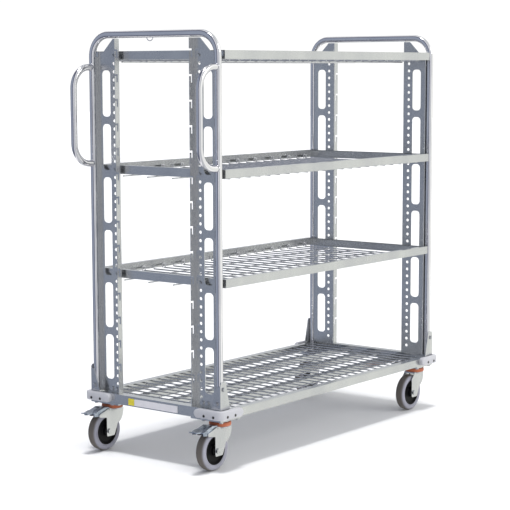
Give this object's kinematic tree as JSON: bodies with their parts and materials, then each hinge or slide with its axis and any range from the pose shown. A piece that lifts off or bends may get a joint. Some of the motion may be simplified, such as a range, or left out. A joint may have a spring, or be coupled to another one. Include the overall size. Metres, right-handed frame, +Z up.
{
  "type": "plant trolley",
  "caption": "Tall steel trolley for plants: tube hoops, perforated uprights, hung wire shelves over a wire deck, side handles and swivel castors with brakes at the handle end.",
  "frame": {"origin": "centre of the whole footprint, handles and bumpers included, on the floor", "axes": "+Z up; +X along the length, away from the handles; -Y is the front"},
  "size_m": [1.298, 0.56, 1.315],
  "materials": {
    "zinc_sheet": "zinc-plated sheet, satin, faintly blue",
    "zinc_tube": "zinc-plated tube, bright, with soft streaks",
    "zinc_wire": "zinc-plated wire, satin",
    "brake_metal": "zinc-plated pressing, bluish satin",
    "grey_plastic": "light grey moulded, fine grain",
    "black_hub": "black moulded, satin",
    "grey_tyre": "grey non-marking rubber",
    "orange_seal": "orange moulded, satin",
    "label_film": "plain printed film, no marks"
  },
  "bodies": {
    "frame": {"hoop_left": "zinc_tube", "hoop_right": "zinc_tube", "handle_front": "zinc_tube", "handle_back": "zinc_tube", "side_rail_front": "zinc_sheet", "side_rail_back": "zinc_sheet", "end_rail_left": "zinc_sheet", "end_rail_right": "zinc_sheet", "deck_grid": "zinc_wire", "deck_bearer_front": "zinc_sheet", "deck_bearer_middle": "zinc_sheet", "deck_bearer_back": "zinc_sheet", "upright_front_left": "zinc_sheet", "foot_bracket_front_left": "zinc_sheet", "bumper_front_left": "grey_plastic", "castor_plate_front_left": "zinc_sheet", "upright_front_right": "zinc_sheet", "foot_bracket_front_right": "zinc_sheet", "bumper_front_right": "grey_plastic", "castor_plate_front_right": "zinc_sheet", "upright_back_left": "zinc_sheet", "foot_bracket_back_left": "zinc_sheet", "bumper_back_left": "grey_plastic", "castor_plate_back_left": "zinc_sheet", "upright_back_right": "zinc_sheet", "foot_bracket_back_right": "zinc_sheet", "bumper_back_right": "grey_plastic", "castor_plate_back_right": "zinc_sheet", "label_plate": "label_film", "wire_hook": "zinc_tube"},
    "castor_front_left": {"castor_seal_front_left": "orange_seal", "castor_fork_front_left": "zinc_sheet", "castor_axle_front_left": "zinc_tube"},
    "wheel_front_left": {"wheel_hub_front_left": "black_hub", "wheel_tyre_front_left": "grey_tyre"},
    "pedal_front_left": {"brake_pedal_front_left": "brake_metal", "brake_pin_front_left": "zinc_tube"},
    "castor_front_right": {"castor_seal_front_right": "orange_seal", "castor_fork_front_right": "zinc_sheet", "castor_axle_front_right": "zinc_tube"},
    "wheel_front_right": {"wheel_hub_front_right": "black_hub", "wheel_tyre_front_right": "grey_tyre"},
    "castor_back_left": {"castor_seal_back_left": "orange_seal", "castor_fork_back_left": "zinc_sheet", "castor_axle_back_left": "zinc_tube"},
    "wheel_back_left": {"wheel_hub_back_left": "black_hub", "wheel_tyre_back_left": "grey_tyre"},
    "pedal_back_left": {"brake_pedal_back_left": "brake_metal", "brake_pin_back_left": "zinc_tube"},
    "castor_back_right": {"castor_seal_back_right": "orange_seal", "castor_fork_back_right": "zinc_sheet", "castor_axle_back_right": "zinc_tube"},
    "wheel_back_right": {"wheel_hub_back_right": "black_hub", "wheel_tyre_back_right": "grey_tyre"},
    "shelf_top": {"shelf_top_rim": "zinc_sheet", "shelf_top_grid": "zinc_wire"},
    "shelf_upper": {"shelf_upper_rim": "zinc_sheet", "shelf_upper_grid": "zinc_wire"},
    "shelf_lower": {"shelf_lower_rim": "zinc_sheet", "shelf_lower_grid": "zinc_wire"}
  },
  "joints": [
    {"name": "swivel_front_left", "type": "hinge", "parent": "frame", "child": "castor_front_left", "pos_m": [-0.5161, -0.2211, 0.13], "axis": [0, 0, 1], "continuous": true},
    {"name": "roll_front_left", "type": "hinge", "parent": "castor_front_left", "child": "wheel_front_left", "pos_m": [-0.5561, -0.2211, 0.0625], "axis": [0, 1, 0], "continuous": true},
    {"name": "brake_front_left", "type": "hinge", "parent": "castor_front_left", "child": "pedal_front_left", "pos_m": [-0.5526, -0.2211, 0.1305], "axis": [0, -1, 0], "range_deg": [0, 12]},
    {"name": "swivel_front_right", "type": "hinge", "parent": "frame", "child": "castor_front_right", "pos_m": [0.5821, -0.2211, 0.13], "axis": [0, 0, 1], "continuous": true},
    {"name": "roll_front_right", "type": "hinge", "parent": "castor_front_right", "child": "wheel_front_right", "pos_m": [0.5421, -0.2211, 0.0625], "axis": [0, 1, 0], "continuous": true},
    {"name": "swivel_back_left", "type": "hinge", "parent": "frame", "child": "castor_back_left", "pos_m": [-0.5161, 0.2211, 0.13], "axis": [0, 0, 1], "continuous": true},
    {"name": "roll_back_left", "type": "hinge", "parent": "castor_back_left", "child": "wheel_back_left", "pos_m": [-0.5561, 0.2211, 0.0625], "axis": [0, 1, 0], "continuous": true},
    {"name": "brake_back_left", "type": "hinge", "parent": "castor_back_left", "child": "pedal_back_left", "pos_m": [-0.5526, 0.2211, 0.1305], "axis": [0, -1, 0], "range_deg": [0, 12]},
    {"name": "swivel_back_right", "type": "hinge", "parent": "frame", "child": "castor_back_right", "pos_m": [0.5821, 0.2211, 0.13], "axis": [0, 0, 1], "continuous": true},
    {"name": "roll_back_right", "type": "hinge", "parent": "castor_back_right", "child": "wheel_back_right", "pos_m": [0.5421, 0.2211, 0.0625], "axis": [0, 1, 0], "continuous": true},
    {"name": "lift_top", "type": "slide", "parent": "frame", "child": "shelf_top", "axis": [0, 0, 1], "range_m": [0, 0.0034]},
    {"name": "lift_upper", "type": "slide", "parent": "frame", "child": "shelf_upper", "axis": [0, 0, 1], "range_m": [0, 0.0034]},
    {"name": "lift_lower", "type": "slide", "parent": "frame", "child": "shelf_lower", "axis": [0, 0, 1], "range_m": [0, 0.0034]}
  ]
}
